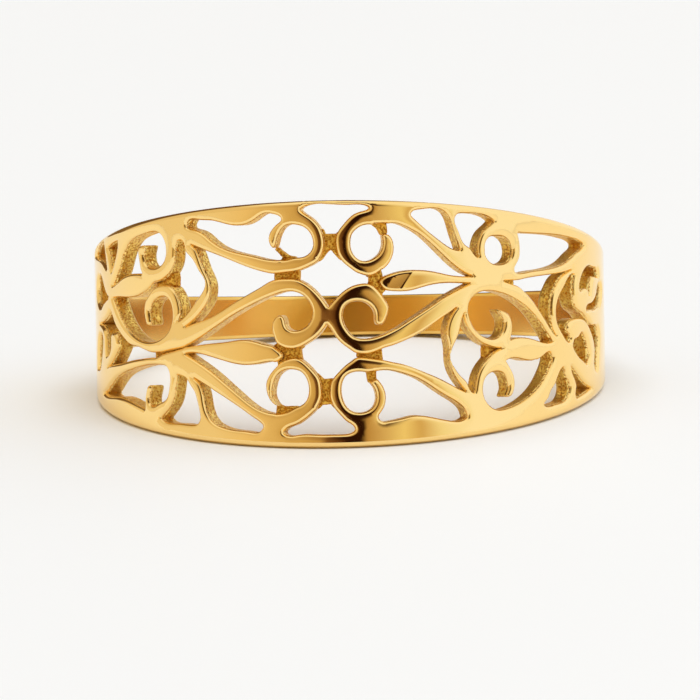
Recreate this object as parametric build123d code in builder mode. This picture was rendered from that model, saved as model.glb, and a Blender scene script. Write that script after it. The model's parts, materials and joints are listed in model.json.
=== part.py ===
from build123d import *
from math import atan2, cos, radians, sin, tan
import os

os.makedirs("parts", exist_ok=True)

# Driving sizes of the ring, in millimetres
bore_diameter = 17.35
wall = 0.70
front_width = 9.0
side_width = 5.2
shank_width = 1.94
shank_back_width = 1.36
shank_back_wall = 1.0
shoulder_round = 0.7
shank_round = 1.2
rim_round = 0.18
bar_recess = 0.30

# Where the wide band ends and the narrow shank begins, in degrees round from the front
shoulder_angle = 93.0
shank_angle = 105.0

# The third value of a point where the edge of an opening turns sharply
C = "corner"

# Openings cut right through the band. Each point on an edge is an angle round from the front,
# in degrees and positive to the right, and a height as a share of the band's half width there.
# The edge runs through the points between two corners in one smooth curve.
OPENINGS = {
    "crown": [
        (-6.3, .925), (-5.2, .946), (0, .956), (5, .950), (8.4, .943), (9.4, .926), (7.6, .900),
        (5.2, .865), (3.6, .812), (1.5, .713, C), (-1.15, .713, C), (-2.4, .795), (-4.4, .862)],
    "upper_diamond": [
        (.1, .595), (-1, .565), (-2.2, .515), (-4, .473), (-7.3, .43, C), (-7.3, .36, C),
        (-5, .318), (-3, .255), (-1.2, .175), (-.5, .135, C), (1.5, .215), (3, .262), (5, .301),
        (7, .318), (8.9, .325, C), (8.9, .3755, C), (7.5, .389), (6, .408), (4.2, .455),
        (2.5, .512), (1.2, .558)],
    "lower_diamond": [
        (-.9, 0, C), (0, -.04), (1, -.10), (2.2, -.15), (3.6, -.19), (5.8, -.24, C),
        (5.8, -.262, C), (4.4, -.30), (3, -.335), (1.6, -.385), (.2, -.44, C), (-2, -.445, C),
        (-3.4, -.395), (-4.8, -.34), (-7, -.278, C), (-7.4, -.195, C), (-5, -.145),
        (-3, -.095), (-1.7, -.045)],
    "foot": [
        (-.4, -.633, C), (.8, -.685), (2, -.735), (3.4, -.785), (4.7, -.818), (5, -.85),
        (4.3, -.872), (2, -.882), (-3, -.882), (-7.5, -.882), (-10.2, -.888), (-11, -.87),
        (-10.4, -.838), (-8.3, -.805), (-6, -.755), (-4, -.695), (-2.5, -.64, C)],
    "left_upper_eye": [
        (-12.2, .62, C), (-11.9, .68), (-11.2, .74), (-10.2, .785), (-9, .802), (-7.5, .80),
        (-6, .785), (-4.6, .745), (-3.8, .69), (-3.65, .65), (-3.9, .60), (-4.8, .56),
        (-6, .54), (-8, .54, C), (-9.3, .545), (-10.8, .575)],
    "left_upper_wing": [
        (-12.6, .605, C), (-13.3, .635), (-13.8, .70), (-13.4, .75), (-12.5, .79), (-11.5, .82),
        (-10.7, .85), (-10.9, .868), (-12, .888), (-14.5, .902), (-17, .855), (-20, .82),
        (-24, .84), (-28, .885), (-31, .90), (-34.3, .895), (-34.6, .87), (-32, .815),
        (-28, .715), (-24, .63), (-20, .585), (-16, .548), (-14, .53), (-12, .522),
        (-11, .525), (-10.7, .545, C), (-11.4, .565)],
    "left_lower_eye": [
        (-13.5, -.57), (-13.3, -.49), (-12.6, -.425), (-11.4, -.38), (-10, -.36), (-8.5, -.36),
        (-7, -.375), (-6, -.41), (-5.3, -.47), (-5.15, -.53), (-5.5, -.59), (-6.4, -.635),
        (-8, -.66, C), (-11.5, -.665, C), (-12.8, -.625)],
    "left_lower_wing": [
        (-35.7, -.248, C), (-32.5, -.238), (-29, -.262), (-25, -.298), (-21, -.325),
        (-17, -.318), (-13.5, -.298), (-12.5, -.30, C), (-12.4, -.335, C), (-13.8, -.39),
        (-14.9, -.47), (-14.9, -.53), (-14.2, -.60), (-12.8, -.65, C), (-13, -.715, C),
        (-15.5, -.70), (-18, -.66), (-21, -.585), (-24, -.505), (-28, -.40), (-32, -.315)],
    "left_foot_leaf": [
        (-33.3, -.452, C), (-30.5, -.50), (-27.8, -.55), (-24, -.625), (-20.5, -.70),
        (-17.2, -.775), (-15.8, -.825), (-16.6, -.865), (-19, -.872), (-23, -.865),
        (-26, -.848), (-28.2, -.815), (-29.6, -.76), (-30.4, -.68), (-30.9, -.58),
        (-31.6, -.515)],
    "left_foot_gusset": [
        (-38.3, -.435, C), (-36.5, -.445), (-35.1, -.475), (-34.4, -.515), (-33.4, -.56),
        (-32.6, -.64), (-32, -.73), (-31.8, -.81), (-32.4, -.842), (-34, -.858), (-38, -.863),
        (-42.5, -.862), (-43.5, -.838, C), (-42, -.785), (-40.5, -.72), (-39.4, -.64),
        (-38.8, -.55)],
    "left_scroll": [
        (-36.3, -.192, C), (-33, -.135), (-30, -.075), (-27, -.01), (-24, .055), (-20, .13),
        (-16, .195), (-12, .248), (-9, .268), (-6.5, .245), (-4.9, .19), (-4, .11), (-4.3, .04),
        (-5.4, -.015), (-7, -.045), (-8.6, -.05), (-9.8, -.03), (-10.3, .02), (-10.6, .06),
        (-11.6, .078), (-12.7, .05), (-13.3, 0), (-13.2, -.06), (-12.8, -.11),
        (-12.6, -.155, C), (-13.4, -.165, C), (-15.5, -.152), (-18, -.128), (-21, -.12),
        (-24, -.135), (-28, -.15), (-32, -.168)],
    "left_blade": [
        (-12.9, .413, C), (-17, .45), (-21, .505), (-25, .568), (-28.5, .62), (-33.6, .70, C),
        (-32.2, .65), (-31.2, .57), (-30.2, .48), (-29.2, .41), (-28.6, .35), (-28.6, .28),
        (-29.1, .21), (-30.2, .15), (-32.5, .065), (-35.6, -.012, C), (-32, .03), (-28, .078),
        (-24, .155), (-20, .232), (-16, .305), (-12.9, .36, C)],
    "left_stem": [
        (-36.6, .748), (-35.6, .72), (-35.1, .65), (-33.9, .60), (-32.6, .54), (-31.2, .455),
        (-29.9, .385), (-29.9, .33), (-30.8, .275), (-32.3, .21), (-34.2, .13), (-37.5, .04, C),
        (-37, .10), (-37.05, .17), (-37.8, .25), (-39, .32), (-40.2, .358, C),
        (-40.2, .47, C), (-39, .53), (-38.4, .60), (-38.2, .69), (-37.6, .74)],
    "left_curl": [
        (-63.8, .285, C), (-59, .285), (-55, .275), (-51, .29), (-48.5, .325), (-46, .385, C),
        (-45.6, .34, C), (-47.2, .285), (-48.5, .215), (-48.9, .14), (-48.5, .05),
        (-47.6, -.005), (-46.6, .005), (-46.9, .07), (-47.1, .14), (-46.5, .2), (-45, .24),
        (-43, .262), (-41, .25), (-39.8, .2), (-39.3, .12), (-39.5, .03), (-40.6, -.05),
        (-42.4, -.105), (-45.5, -.148), (-49, -.152), (-52.5, -.118), (-55.5, -.06),
        (-58.3, .02), (-61, .13)],
    "left_upper_hook": [
        (-63.7, .42, C), (-62, .50), (-60.2, .585), (-58.5, .69), (-56.5, .775), (-54, .83),
        (-51, .852), (-48, .86), (-45, .862), (-43.2, .84), (-41.9, .79), (-41.1, .71),
        (-41.1, .64), (-42, .57), (-43.2, .54), (-44.5, .528), (-46, .53), (-47.5, .55),
        (-48.6, .59), (-49, .64), (-48.7, .70), (-48.3, .745), (-49.3, .757), (-50.6, .75),
        (-50.9, .72), (-50.7, .66), (-50.4, .60), (-50, .53), (-49.3, .485, C),
        (-51.5, .498), (-54.4, .505), (-57, .495), (-60, .455)],
    "left_lower_hook": [
        (-71, -.778, C), (-68, -.70), (-64.5, -.60), (-61, -.52), (-57, -.46), (-52, -.405),
        (-47.5, -.368), (-43.5, -.358), (-41.3, -.375), (-40.5, -.44), (-40.7, -.55),
        (-41.4, -.64), (-43.1, -.692, C), (-44.8, -.725), (-46.3, -.748), (-47.6, -.73),
        (-47.8, -.67), (-47.1, -.60), (-47, -.555), (-47.6, -.545), (-48.5, -.60),
        (-49, -.68), (-49.2, -.79, C), (-52.5, -.77), (-57, -.745), (-61, -.742),
        (-66, -.775)],
    "left_branch": [
        (-65.6, .165, C), (-64.3, .12), (-62.8, .03), (-60.5, -.06), (-57.5, -.14),
        (-54.5, -.195), (-52, -.205), (-49, -.232), (-47, -.248, C), (-47, -.30, C),
        (-51, -.32), (-56, -.355), (-60, -.39), (-63.5, -.415), (-68.8, -.478, C),
        (-65.5, -.40), (-64, -.345), (-62.5, -.29), (-61.3, -.23), (-61.1, -.17),
        (-61.9, -.10), (-64.2, -.085), (-65, -.12), (-65.1, -.2), (-65.5, -.27),
        (-66.8, -.32), (-68.3, -.345, C), (-68.7, -.25), (-68.8, -.10, C), (-70, -.052),
        (-72, -.012), (-74.4, .01, C), (-72, .036), (-69, .075), (-67, .112)],
    "left_top_splinter": [
        (-60.1, .865, C), (-60.3, .80), (-61.5, .70), (-62.7, .62), (-63.8, .565, C),
        (-64.4, .62), (-65.2, .72), (-66.8, .84, C), (-64.5, .862)],
    "left_top_blade": [
        (-66.9, .605, C), (-68.5, .655), (-70.5, .71), (-74, .755), (-78, .80), (-81, .86, C),
        (-78, .92), (-74, .94), (-69.2, .945, C), (-68.8, .88), (-68.2, .80), (-67.5, .70)],
    "left_side_upper": [
        (-66.2, .295, C), (-68, .345), (-69.8, .44), (-71.3, .53), (-73, .582), (-75.5, .58),
        (-77.3, .50), (-77.8, .40), (-77.2, .30), (-75.3, .22), (-73, .185), (-71, .228),
        (-69, .26)],
    "left_side_lower": [
        (-71.1, -.135, C), (-71.5, -.27), (-72.3, -.36), (-73.8, -.48), (-75.8, -.535),
        (-79.3, -.555, C), (-78.8, -.42), (-77.5, -.25), (-75.8, -.13)],
    "right_upper_eye": [
        (4.7, .65), (5, .71), (6, .755), (7.5, .785), (9.3, .792), (10.2, .785, C),
        (11.6, .72, C), (11.9, .66), (11.7, .60), (11, .555), (9.8, .52), (8.2, .50),
        (6.6, .51), (5.4, .55), (4.8, .60)],
    "right_upper_wing": [
        (12.9, .80, C), (15, .803), (17.5, .772), (20, .725), (22.5, .655), (25, .575),
        (27.5, .495), (29.8, .435), (33, .385, C), (30, .383), (27, .393), (24, .415),
        (20, .43), (17.8, .427), (16, .418), (14.6, .406), (13.3, .389), (12.4, .376),
        (11.85, .369, C), (11.5, .428, C), (12.8, .465),
        (13.8, .52), (14.35, .60), (14, .68), (13, .725, C)],
    "right_top_leaf": [
        (18.4, .885), (19.2, .845), (21, .79), (23, .73), (25, .68), (27, .63), (29.8, .605, C),
        (28.9, .70), (28, .79), (27.4, .86), (26.5, .91), (25, .938), (22.5, .938),
        (20, .922), (18.8, .908)],
    "right_top_gusset": [
        (28.7, .875), (29.2, .905), (30.5, .918), (34, .925), (37, .91), (38.8, .878, C),
        (37.2, .825), (35.6, .77), (34.7, .71), (34.2, .64), (34.4, .55, C), (33.2, .585),
        (32.2, .63), (31.4, .645), (30.5, .68), (29.5, .77)],
    "right_round_eye": [
        (36.2, .63), (36.6, .70), (37.5, .735), (39, .745), (40.5, .752), (42, .735),
        (43.3, .69), (43.7, .63), (43.5, .58), (42.8, .54), (41.5, .51), (39.5, .497),
        (38, .505), (36.8, .54), (36.2, .59)],
    "right_top_window": [
        (45.3, .80, C), (50, .812), (55, .83), (60, .845), (66, .852), (70, .845),
        (71.8, .815), (70, .76), (67, .69), (63.5, .60), (59, .528), (54, .482), (49, .45),
        (45.5, .425), (43.9, .435), (44.4, .485), (45.6, .55), (46, .64), (45.8, .73)],
    "right_lower_eye": [
        (2.1, -.55), (2.3, -.47), (3.2, -.415), (4.8, -.387), (6.8, -.385), (8, -.392, C),
        (8.3, -.47, C), (9.2, -.51), (9.8, -.57), (9.7, -.63), (8.9, -.68), (7.4, -.708),
        (5.6, -.712), (3.8, -.685), (2.6, -.625)],
    "right_lower_wing": [
        (9.9, -.385, C), (13, -.383), (16, -.412), (19, -.455), (22, -.522), (25, -.60),
        (28, -.67), (30, -.735), (30.9, -.815, C), (29, -.838), (26.5, -.825), (24, -.80),
        (21, -.77), (18.2, -.758), (15.5, -.775), (12.5, -.79), (10.8, -.788), (10.2, -.76),
        (11, -.71), (11.9, -.64), (11.9, -.56), (11, -.485), (9.9, -.44, C)],
    "right_scroll": [
        (12.2, .262, C), (15, .255), (17.5, .258), (20, .28), (22.5, .305), (25, .32),
        (28, .325), (32.3, .322, C), (30, .285), (27.5, .24), (25, .19), (22.5, .13),
        (20, .075), (17.5, .02), (15, -.035), (12, -.085), (9, -.118), (7, -.122),
        (5.2, -.108), (3.9, -.06), (2.9, .0), (2.6, .07), (3.2, .14), (4.5, .172), (6.5, .18),
        (8.2, .16), (9.4, .12), (9.9, .05), (10, .0), (10.5, -.015), (11.5, -.01), (12.5, .05),
        (13, .12), (12.63, .162), (12.12, .193), (11.73, .217)],
    "right_blade": [
        (11.3, -.205, C), (14, -.178), (17, -.138), (20, -.088), (23, -.02), (25.5, .04),
        (27.5, .085), (29.5, .145, C), (27.5, .06), (26.4, -.03), (26.2, -.12), (26.6, -.2),
        (26.7, -.3), (27.2, -.40), (28.4, -.485), (30.8, -.60, C), (28, -.545), (25.5, -.49),
        (22.5, -.435), (19.5, -.385), (16, -.335), (13, -.31), (11.5, -.295, C)],
    "right_stem": [
        (30.5, .065, C), (31, -.02), (32.2, -.095), (33.8, -.16), (35.3, -.197),
        (36.9, -.222, C), (36.9, -.317, C), (35.6, -.362), (34.2, -.43), (33.5, -.49),
        (33.1, -.56), (32.8, -.615, C),
        (31.9, -.59), (31, -.52), (29.5, -.46), (28, -.385), (27.1, -.30), (27.4, -.24),
        (28.4, -.165), (29.3, -.09), (29.9, 0)],
    "right_curl": [
        (31.6, .10), (32.2, .185), (34, .24), (36.5, .26), (39.5, .25), (42.5, .218),
        (45.5, .168), (48.5, .10), (51, .02), (53, -.06), (54.8, -.14), (56.5, -.225, C),
        (53, -.225), (50, -.19), (47, -.165), (44.5, -.163), (42.6, -.18, C), (43.2, -.11),
        (43.3, -.03), (42.5, .045), (41, .085), (39.3, .10), (39.9, .06), (40.9, .01),
        (41.1, -.05), (40.2, -.125), (38.3, -.16), (36, -.145), (34, -.10), (32.5, -.03),
        (31.8, .04)],
    "right_arch": [
        (45.2, .361, C), (48, .385), (52, .412), (56, .435), (60, .462),
        (64.8, .518, C), (62, .462), (60, .415), (58.3, .34), (56.8, .25), (56, .15),
        (55.9, .05), (56.5, -.07), (58, -.178, C), (56.2, -.125), (54.2, -.03), (52, .075),
        (50, .165), (48, .235), (45.2, .312, C)],
    "right_lower_hook": [
        (36.6, -.468), (38.5, -.45), (40.2, -.462), (41.3, -.50), (41.8, -.56), (41.9, -.63),
        (41.3, -.685), (42.4, -.69), (43.5, -.64), (43.8, -.57), (43.4, -.49), (42.4, -.42),
        (41.4, -.365, C), (44, -.348), (47, -.375), (50.5, -.383, C), (53, -.355),
        (55.5, -.332), (56.4, -.37), (55.8, -.45), (54, -.55), (51.5, -.645), (48.5, -.715),
        (45, -.765), (41, -.793), (38.5, -.785), (36.5, -.735), (35.3, -.66), (35.1, -.57),
        (35.7, -.50)],
    "right_foot_gusset": [
        (60.4, -.495, C), (61.2, -.53), (61.7, -.60), (62.8, -.665), (63.3, -.74),
        (62.7, -.81), (61, -.852), (57, -.858), (53.5, -.848), (52.6, -.83), (53.6, -.80),
        (54.6, -.765), (55.2, -.72), (56.5, -.675), (57.8, -.60), (59.2, -.525)],
    "right_foot_blade": [
        (63.5, -.495, C), (65.5, -.56), (68, -.655), (71, -.752), (74.6, -.838, C),
        (71.5, -.858), (68, -.868), (65.7, -.872, C), (65.4, -.81), (65.9, -.745),
        (65.4, -.675), (64.3, -.60)],
    "right_side_lower": [
        (64.7, -.275), (65.6, -.238), (67.2, -.222), (68.6, -.18), (70.2, -.178),
        (71.6, -.225), (72.8, -.32), (73.6, -.42), (73.4, -.50), (72.4, -.54), (70, -.492),
        (67.5, -.43), (65.6, -.355)],
    "right_spiral": [
        (66.2, .46, C), (65.5, .36), (65.3, .26), (65.8, .16), (67.5, .09), (70.5, .045),
        (73, -.02), (75.5, -.09), (78, -.105), (80.5, -.13), (81.8, -.24), (81, -.42),
        (80, -.57), (79.6, -.68, C), (77.6, -.65), (76.7, -.58), (77.1, -.45), (76.8, -.31),
        (75.2, -.2), (73.2, -.10), (71, -.035), (68, -.01), (65, -.02), (63, -.06),
        (62.4, -.10), (62.9, -.15), (63.8, -.185), (64.2, -.225, C), (63.3, -.255),
        (61.5, -.22), (60.2, -.16), (59, -.10), (58, -.03), (57.7, .05), (58.2, .16),
        (59.3, .24), (61, .32), (63, .42)],
    "right_side_upper": [
        (68, .30), (68.3, .37), (69.3, .45), (71, .53), (73.5, .585), (76, .605), (79, .605),
        (81.8, .58), (82.3, .53), (79, .49), (76.6, .46), (75.5, .39), (74.8, .30),
        (74.6, .258, C), (73.4, .258, C), (73.2, .312), (71, .32), (69, .29)],
    "right_side_middle": [
        (71.6, .085), (73, .135), (75.5, .155), (77.8, .205), (79.3, .27), (80.2, .36),
        (82, .42), (84.8, .44), (86, .36), (85.3, .24), (83, .13), (80, .095), (77, .078),
        (74, .08)],
}

# Places where a scroll's end is tied to its neighbour by a bar that lies below the face.
# Each is a shallow pocket with straight edges, that reaches a little into the openings beside it.
RECESSES = {
    "crown_bar": [
        (-1.6, .772), (-1.73, .748), (-1.43, .72), (-1.23, .688), (-1.13, .656), (-1.17, .624),
        (-1.34, .592), (-1.66, .561), (-2.07, .535), (-2.66, .504), (-2.07, .493), (2.43, .488),
        (2.68, .503), (2.19, .53), (1.81, .559), (1.58, .591), (1.45, .623), (1.37, .654),
        (1.39, .684), (1.6, .712), (1.96, .739), (1.8, .762)],
    "foot_bar": [
        (-3.16, -.38), (-3.41, -.396), (-2.89, -.421), (-2.53, -.453), (-2.33, -.489),
        (-2.25, -.524), (-2.27, -.564), (-2.45, -.599), (-2.79, -.63), (-3.43, -.669),
        (-2.97, -.687), (.33, -.696), (.58, -.677), (.11, -.646), (-.23, -.616), (-.43, -.584),
        (-.5, -.548), (-.46, -.513), (-.32, -.481), (-.04, -.451), (.44, -.424), (.93, -.407),
        (.69, -.39)],
    "left_blade_bar": [
        (-13.2, .413), (-10, .418), (-7, .43), (-7, .36), (-10, .37), (-13.2, .36)],
    "left_tip_bar": [
        (-13.4, -.16), (-12.7, -.14), (-12.15, -.158), (-11.35, -.174), (-10.35, -.187),
        (-9.3, -.194), (-8.3, -.194), (-7.45, -.187), (-6.48, -.174), (-6.2, -.203),
        (-6.7, -.283), (-7.55, -.27), (-8.45, -.267), (-9.35, -.272), (-10.25, -.281),
        (-11.2, -.295), (-11.9, -.318), (-12.6, -.343), (-12.6, -.299), (-11.87, -.29),
        (-11.32, -.278), (-10.94, -.265), (-10.78, -.252), (-10.89, -.24), (-11.24, -.226),
        (-11.72, -.213), (-12.51, -.193)],
    "right_tip_bar": [
        (8.17, .341), (7.64, .369), (7.71, .384), (8.41, .381), (9.18, .383), (9.85, .391),
        (10.52, .404), (11.14, .42), (11.68, .436), (11.95, .3713), (11.33, .357), (11, .345),
        (10.85, .333), (10.95, .317), (11.25, .30), (11.65, .283), (12.4, .261), (12.22, .223),
        (11.77, .214), (11.21, .24), (10.56, .269), (9.91, .293), (9.26, .311), (8.61, .324)],
    "right_blade_bar": [
        (5.5, -.262), (5.5, -.24), (6.8, -.244), (8.35, -.242), (9.9, -.227), (11.6, -.202),
        (11.6, -.297), (9.85, -.286), (8.3, -.278), (6.8, -.271)],
    "left_eye_web": [
        (-12.75, .605), (-12.1, .625), (-10.8, .58), (-9.3, .55), (-8, .545), (-8, .538),
        (-9.5, .522), (-11, .52), (-10.6, .545), (-11.4, .565)],
    "left_lower_eye_web": [
        (-12.85, -.645), (-11.5, -.66), (-7.9, -.655), (-10, -.70), (-13.1, -.72)],
    "right_eye_web": [(10, .78), (9.8, .80), (13, .805), (13.2, .725), (11.4, .715)],
    "right_lower_eye_web": [(7.8, -.39), (10.1, -.38), (10.1, -.445), (8.1, -.475)],
    "left_hook_bar": [
        (-46.3, .38), (-42.6, .415), (-39.9, .475), (-39.9, .355), (-42.6, .365), (-45.9, .335)],
    "left_branch_bar": [
        (-47.3, -.247), (-43.5, -.243), (-36.2, -.188), (-36.2, -.198), (-43, -.262),
        (-45, -.292), (-47.3, -.30)],
    "right_curl_bar": [
        (36.6, -.2175), (38.5, -.24), (40.5, -.247), (38, -.285), (36.6, -.326)],
    "right_arch_bar": [(40.9, .352), (45.6, .364), (45.6, .305), (43.5, .327)],
}

# Worked out from the sizes above
bore_radius = bore_diameter / 2
outer_radius = bore_radius + wall
taper = (front_width - side_width) / 2
resting_tilt = atan2(taper, outer_radius)
resting_height = side_width / 2 * cos(resting_tilt)
front_reach = outer_radius * cos(resting_tilt) + front_width / 2 * sin(resting_tilt)
back_radius = bore_radius + shank_back_wall
back_reach = back_radius * cos(resting_tilt) + shank_back_width / 2 * sin(resting_tilt)


def half_width(angle):
    """Half the band's height at an angle round from the front, between its two flat edges"""
    return side_width / 2 + taper * cos(radians(angle))


def drawing_plane(distance, angle):
    """Upright plane that faces outwards, at a distance from the finger's axis"""
    turn = radians(angle)
    return Plane(origin=(distance * sin(turn), -distance * cos(turn), 0),
                 x_dir=(cos(turn), sin(turn), 0), z_dir=(sin(turn), -cos(turn), 0))


def spots_on_plane(points, distance, middle):
    """Points round an opening as they fall on the drawing plane, seen from the finger's axis"""
    spots = []
    for row in points:
        spots.append((distance * tan(radians(row[0] - middle)), row[1] * half_width(row[0])))
    return spots


def opening_edge(points, spots):
    """Edge of an opening: a smooth curve, broken at its corners"""
    corners = [place for place, row in enumerate(points) if len(row) == 3]
    if not corners:
        Spline(*spots, periodic=True)
    for place, start in enumerate(corners):
        stop = corners[place + 1] if place + 1 < len(corners) else corners[0] + len(spots)
        run = [spots[step % len(spots)] for step in range(start, stop + 1)]
        if len(run) == 2:
            Line(*run)
        else:
            Spline(*run)


def middle_angle(points):
    """Angle half way across an opening"""
    angles = [row[0] for row in points]
    return (min(angles) + max(angles)) / 2


# Distances of the two planes that each cut runs between
inner_distance = bore_radius * 0.9
outer_distance = outer_radius + wall / 2

# The pockets, joined in one cutter that stops below the face
with BuildPart() as pockets:
    for points in RECESSES.values():
        middle = middle_angle(points)
        for distance in (inner_distance, outer_distance):
            with BuildSketch(drawing_plane(distance, middle)):
                Polygon(*spots_on_plane(points, distance, middle), align=None)
        loft(ruled=True)
    Cylinder(outer_radius - bar_recess, front_width, mode=Mode.SUBTRACT)

# The ring in its own frame, with the finger's axis upright and the front towards -Y
with BuildPart() as band:
    # Round blank, thicker at the back of the shank
    blank_height = front_width * 1.5
    shank_y = -outer_radius * cos(radians(shank_angle))
    back_centre = (back_radius ** 2 - outer_radius ** 2) / (2 * (back_radius - shank_y))
    with BuildSketch(Plane.XY.offset(-blank_height / 2)):
        Circle(outer_radius)
        with Locations((0, back_centre)):
            Circle(back_radius - back_centre)
    extrude(amount=blank_height)

    # Side outline: two flat edges that taper to the back, shoulders, and the narrow shank
    shoulder_y = -outer_radius * cos(radians(shoulder_angle))
    front_y = -outer_radius * 1.1
    with BuildSketch(Plane.YZ) as side:
        with BuildLine():
            Polyline((front_y, 0), (front_y, side_width / 2 - taper * front_y / outer_radius),
                     (shoulder_y, half_width(shoulder_angle)), (shank_y, shank_width / 2),
                     (back_radius, shank_back_width / 2),
                     (back_radius + wall, shank_back_width / 2), (back_radius + wall, 0))
            mirror(about=Plane.XZ)
        make_face()
        shoulders = side.vertices().filter_by(lambda corner: abs(corner.X - shoulder_y) < wall / 100)
        fillet(shoulders, shoulder_round)
        shank_ends = side.vertices().filter_by(lambda corner: abs(corner.X - shank_y) < wall / 100)
        fillet(shank_ends, shank_round)
    extrude(amount=outer_radius * 1.2, both=True, mode=Mode.INTERSECT)

    # Both outer rims are rounded over, all the way round
    rims = band.edges().filter_by(lambda edge: abs(edge.center().Z) > shank_back_width / 4)
    fillet(rims, rim_round)

    with BuildSketch(Plane.XY.offset(-blank_height / 2)):
        Circle(bore_radius)
    extrude(amount=blank_height, mode=Mode.SUBTRACT)

    # Openings, with walls that point at the finger's axis
    for points in OPENINGS.values():
        middle = middle_angle(points)
        for distance in (inner_distance, outer_distance):
            with BuildSketch(drawing_plane(distance, middle)):
                with BuildLine():
                    opening_edge(points, spots_on_plane(points, distance, middle))
                make_face()
        loft(ruled=True, mode=Mode.SUBTRACT)

    add(pockets.part, mode=Mode.SUBTRACT)

# The ring as it rests by itself, on the lower flat edge of the band
resting_plane = Plane(origin=(0, (front_reach - back_reach) / 2, resting_height),
                      x_dir=(1, 0, 0), z_dir=(0, sin(resting_tilt), cos(resting_tilt)))
with BuildPart() as ring:
    with Locations(resting_plane.location):
        add(band.part)

ring.part.label = "ring"
export_step(ring.part, "parts/ring.step")
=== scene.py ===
import json
import math

import bpy
import numpy as np
from mathutils import Matrix, Vector, geometry, kdtree, noise


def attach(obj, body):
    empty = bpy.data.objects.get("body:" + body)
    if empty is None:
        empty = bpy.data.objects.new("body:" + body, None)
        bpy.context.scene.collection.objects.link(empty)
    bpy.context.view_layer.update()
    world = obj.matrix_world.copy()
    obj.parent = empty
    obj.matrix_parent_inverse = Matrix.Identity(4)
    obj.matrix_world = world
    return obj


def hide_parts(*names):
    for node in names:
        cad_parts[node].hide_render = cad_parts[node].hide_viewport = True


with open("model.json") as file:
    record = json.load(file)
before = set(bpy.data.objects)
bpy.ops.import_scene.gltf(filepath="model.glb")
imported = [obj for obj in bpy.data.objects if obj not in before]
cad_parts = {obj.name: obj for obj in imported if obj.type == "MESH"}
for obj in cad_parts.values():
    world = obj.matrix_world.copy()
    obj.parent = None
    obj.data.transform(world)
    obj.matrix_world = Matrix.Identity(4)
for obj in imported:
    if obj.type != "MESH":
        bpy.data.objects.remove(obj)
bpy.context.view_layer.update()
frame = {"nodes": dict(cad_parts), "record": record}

bl_info = {
    "name": "Openwork Ring",
    "version": (1, 0, 0),
    "blender": (4, 5, 0),
    "location": "3D View > Sidebar > Ring",
    "description": "Builds a cast ring of pierced scrollwork, polished outside and sandy in its holes",
    "category": "Object",
}

# The shapes are worked out in millimetres, and the scene is in metres
MM = 0.001
finger_bore = next(mount for mount in frame["record"]["mounts"] if mount["name"] == "finger_bore")


# Settings

class RingSizes(bpy.types.PropertyGroup):
    """Sizes of the ring that the looks are built from"""
    bore_radius: bpy.props.FloatProperty(
        name="Bore radius", description="Radius of the finger's hole",
        default=finger_bore["dims"]["r_mm"] * MM, unit="LENGTH", precision=5)
    wall: bpy.props.FloatProperty(
        name="Wall", description="Thickness of the band from the bore to its face",
        default=0.70 * MM, unit="LENGTH", precision=5)
    front_width: bpy.props.FloatProperty(
        name="Front width", description="Height of the band at its front",
        default=9.0 * MM, unit="LENGTH", precision=5)
    side_width: bpy.props.FloatProperty(
        name="Side width", description="Height of the band at its sides",
        default=5.2 * MM, unit="LENGTH", precision=5)
    shank_width: bpy.props.FloatProperty(
        name="Shank width", description="Height of the shank where it meets the shoulders",
        default=1.94 * MM, unit="LENGTH", precision=5)
    shank_back_width: bpy.props.FloatProperty(
        name="Shank width at the back", description="Height of the shank at the back of the finger",
        default=1.36 * MM, unit="LENGTH", precision=5)
    shank_back_wall: bpy.props.FloatProperty(
        name="Shank wall at the back", description="Thickness of the shank at the back",
        default=1.0 * MM, unit="LENGTH", precision=5)
    shoulder_round: bpy.props.FloatProperty(
        name="Shoulder round", description="Radius where the band turns in to the shoulder",
        default=0.7 * MM, unit="LENGTH", precision=5)
    shank_round: bpy.props.FloatProperty(
        name="Shank round", description="Radius where the shoulder runs out in the shank",
        default=1.2 * MM, unit="LENGTH", precision=5)
    shoulder_angle: bpy.props.FloatProperty(
        name="Shoulder angle", description="Where the shoulder begins, from the front",
        default=math.radians(93), unit="ROTATION")
    shank_angle: bpy.props.FloatProperty(
        name="Shank angle", description="Where the shank begins, from the front",
        default=math.radians(105), unit="ROTATION")
    rim_round: bpy.props.FloatProperty(
        name="Rim rounding", description="Radius of the rounding along both outer rims",
        default=0.26 * MM, unit="LENGTH", precision=5)
    hole_round: bpy.props.FloatProperty(
        name="Hole rounding", description="Radius of the rounding round each opening",
        default=0.12 * MM, unit="LENGTH", precision=5)
    dome_drop: bpy.props.FloatProperty(
        name="Dome", description="How far the face falls towards an edge, beyond the rounding itself",
        default=0.018 * MM, unit="LENGTH", precision=5)
    dome_reach: bpy.props.FloatProperty(
        name="Dome reach", description="How far from an edge the face begins to fall",
        default=0.32 * MM, unit="LENGTH", precision=5)
    inner_round: bpy.props.FloatProperty(
        name="Inner rounding", description="Radius of the rounding on the finger's side",
        default=0.06 * MM, unit="LENGTH", precision=5)
    bar_recess: bpy.props.FloatProperty(
        name="Tie bar recess", description="How far the tie bars lie below the face",
        default=0.30 * MM, unit="LENGTH", precision=5)
    outline_step: bpy.props.FloatProperty(
        name="Outline step", description="Longest step along an opening's edge",
        default=0.10 * MM, unit="LENGTH", precision=5)
    face_step: bpy.props.FloatProperty(
        name="Face step", description="Distance between the points of a plain face",
        default=0.30 * MM, unit="LENGTH", precision=5)


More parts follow.
